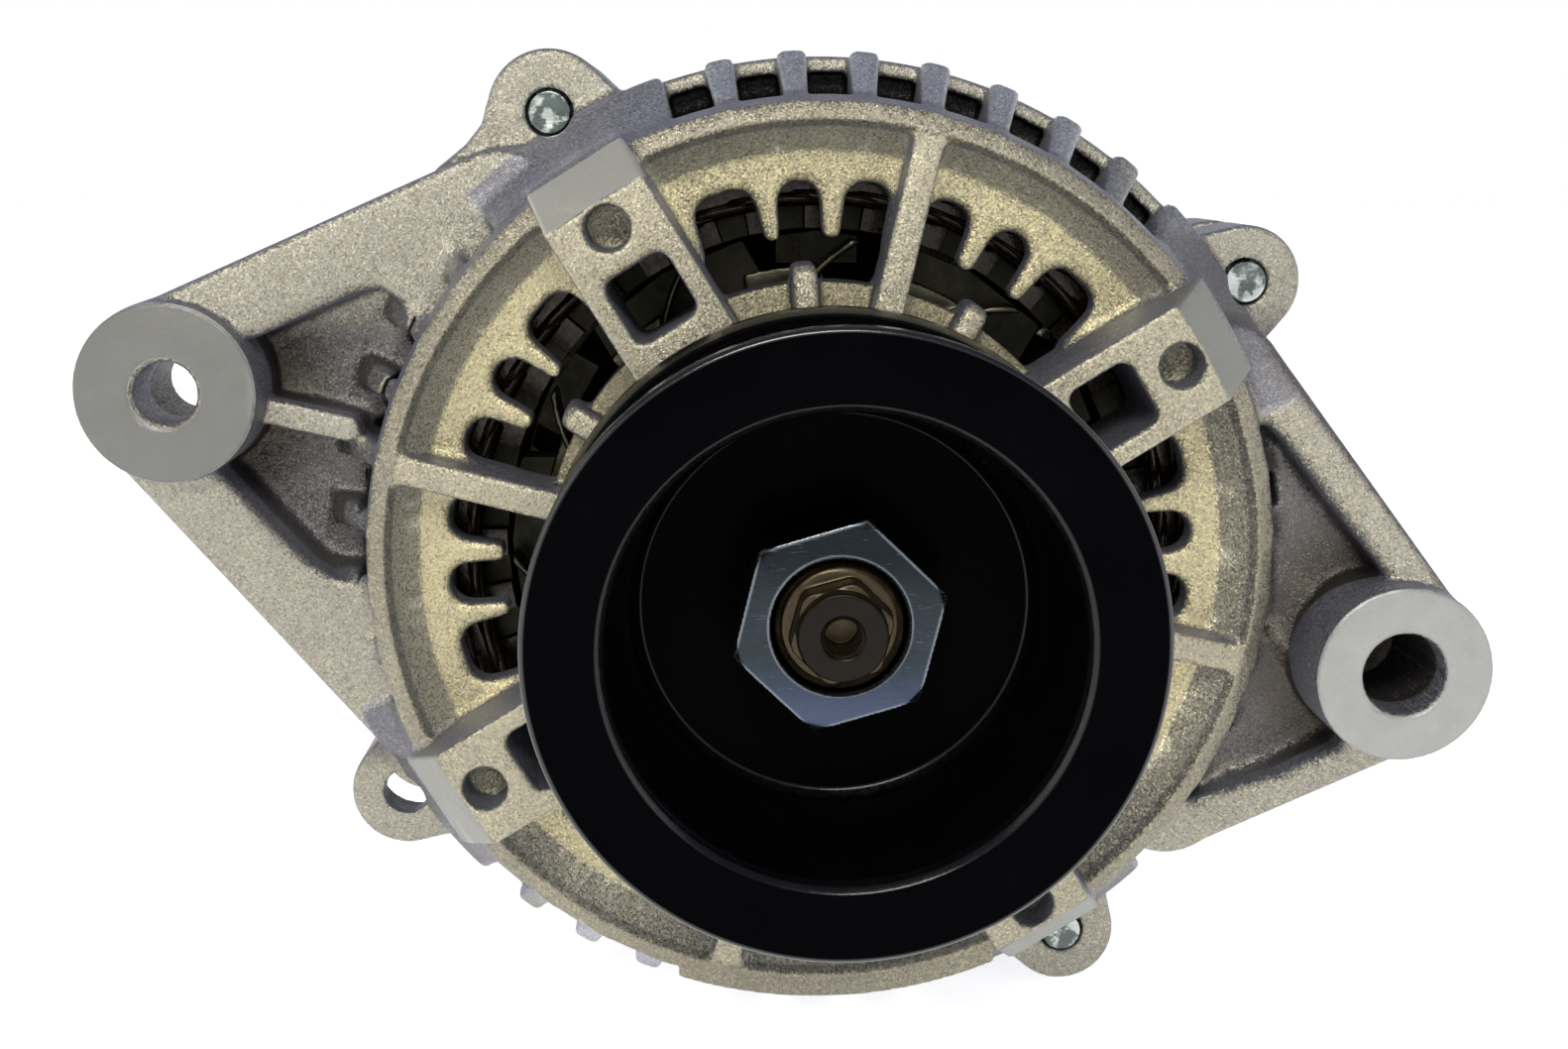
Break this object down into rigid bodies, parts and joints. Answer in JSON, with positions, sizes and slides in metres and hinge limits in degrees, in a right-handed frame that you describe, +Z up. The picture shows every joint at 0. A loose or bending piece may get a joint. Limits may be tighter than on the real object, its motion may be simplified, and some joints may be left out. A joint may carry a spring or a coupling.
{
  "type": "car alternator",
  "caption": "Compact car alternator: finned cast end frames round a laminated stator, a dished belt pulley, two mounting ears and cooling fans inside.",
  "frame": {"origin": "on the shaft axis, at the flat centre of the rear cover's back face", "axes": "+Y along the shaft axis towards the rear cover, so the pulley faces -Y; +Z up with the adjusting ear at the upper left; +X towards the pivot ear"},
  "size_m": [0.1959, 0.1545, 0.1429],
  "materials": {
    "cast_aluminium": "bare sand-cast, sparkling, satin on the machined faces",
    "black_paint": "satin black electrocoat",
    "zinc_plating": "bright bluish zinc plating",
    "yellow_plating": "yellow-brown passivated steel",
    "steel": "ground steel",
    "lamination_steel": "dark varnished steel",
    "enamelled_copper": "varnished copper wire",
    "slip_ring_copper": "polished copper",
    "black_resin": "matt moulded resin",
    "plated_sheet": "pressed plated sheet",
    "bare_aluminium": "bare sheet and extrusion",
    "brush_carbon": "copper-graphite brush"
  },
  "bodies": {
    "housing": {"drive_end_frame": "cast_aluminium", "rear_end_frame": "cast_aluminium", "rear_cover": "plated_sheet", "cover_nut_1": "zinc_plating", "cover_nut_2": "zinc_plating", "cover_nut_3": "zinc_plating", "stator_core": "lamination_steel", "stator_winding": "enamelled_copper", "front_bearing_outer_race": "steel", "rear_bearing_outer_race": "steel", "bearing_retainer": "steel", "retainer_screw_right": "zinc_plating", "retainer_screw_top": "zinc_plating", "retainer_screw_left": "zinc_plating", "retainer_screw_bottom": "zinc_plating", "through_bolt_right": "zinc_plating", "through_bolt_top": "zinc_plating", "through_bolt_bottom": "zinc_plating", "brush_holder": "black_resin", "regulator": "bare_aluminium", "connector": "black_resin", "rectifier_positive_plate": "bare_aluminium", "rectifier_negative_plate": "bare_aluminium", "rectifier_terminal_board": "black_resin", "diode_1": "zinc_plating", "diode_2": "zinc_plating", "diode_3": "zinc_plating", "diode_4": "zinc_plating", "diode_5": "zinc_plating", "diode_6": "zinc_plating", "battery_stud": "zinc_plating", "stud_insulator": "black_resin", "stud_nut": "zinc_plating"},
    "rotor": {"rotor_shaft": "yellow_plating", "front_claw_pole": "lamination_steel", "rear_claw_pole": "lamination_steel", "coil_bobbin": "black_resin", "field_coil": "enamelled_copper", "front_fan": "steel", "rear_fan": "steel", "slip_ring_insulator": "black_resin", "slip_ring_inner": "slip_ring_copper", "slip_ring_outer": "slip_ring_copper", "front_bearing_inner_race": "steel", "rear_bearing_inner_race": "steel", "pulley": "black_paint", "spacer_collar": "steel", "pulley_nut": "zinc_plating"},
    "front_balls": {"front_bearing_balls": "steel"},
    "rear_balls": {"rear_bearing_balls": "steel"},
    "outer_brush": {"brush_outer": "brush_carbon", "brush_spring_outer": "steel"},
    "inner_brush": {"brush_inner": "brush_carbon", "brush_spring_inner": "steel"},
    "sliding_bush": {"pivot_bush": "steel"}
  },
  "joints": [
    {"name": "rotor_spin", "type": "hinge", "parent": "housing", "child": "rotor", "pos_m": [0, -0.06, 0], "axis": [0, 1, 0], "continuous": true},
    {"name": "front_cage_spin", "type": "hinge", "parent": "housing", "child": "front_balls", "pos_m": [0, -0.0876, 0], "axis": [0, 1, 0], "continuous": true},
    {"name": "rear_cage_spin", "type": "hinge", "parent": "housing", "child": "rear_balls", "pos_m": [0, -0.0315, 0], "axis": [0, 1, 0], "continuous": true},
    {"name": "outer_brush_slide", "type": "slide", "parent": "housing", "child": "outer_brush", "axis": [0, 0, 1], "range_m": [0, 0.005], "stiffness_N_per_m": 60, "springref_m": -0.02, "deforming": ["brush_spring_outer"]},
    {"name": "inner_brush_slide", "type": "slide", "parent": "housing", "child": "inner_brush", "axis": [0, 0, 1], "range_m": [0, 0.005], "stiffness_N_per_m": 60, "springref_m": -0.02, "deforming": ["brush_spring_inner"]},
    {"name": "pivot_bush_slide", "type": "slide", "parent": "housing", "child": "sliding_bush", "axis": [0, 1, 0], "range_m": [-0.002, 0.002]}
  ],
  "couplings": [
    {"joint": "front_cage_spin", "follows": "rotor_spin", "ratio": 0.409},
    {"joint": "rear_cage_spin", "follows": "rotor_spin", "ratio": 0.407}
  ]
}
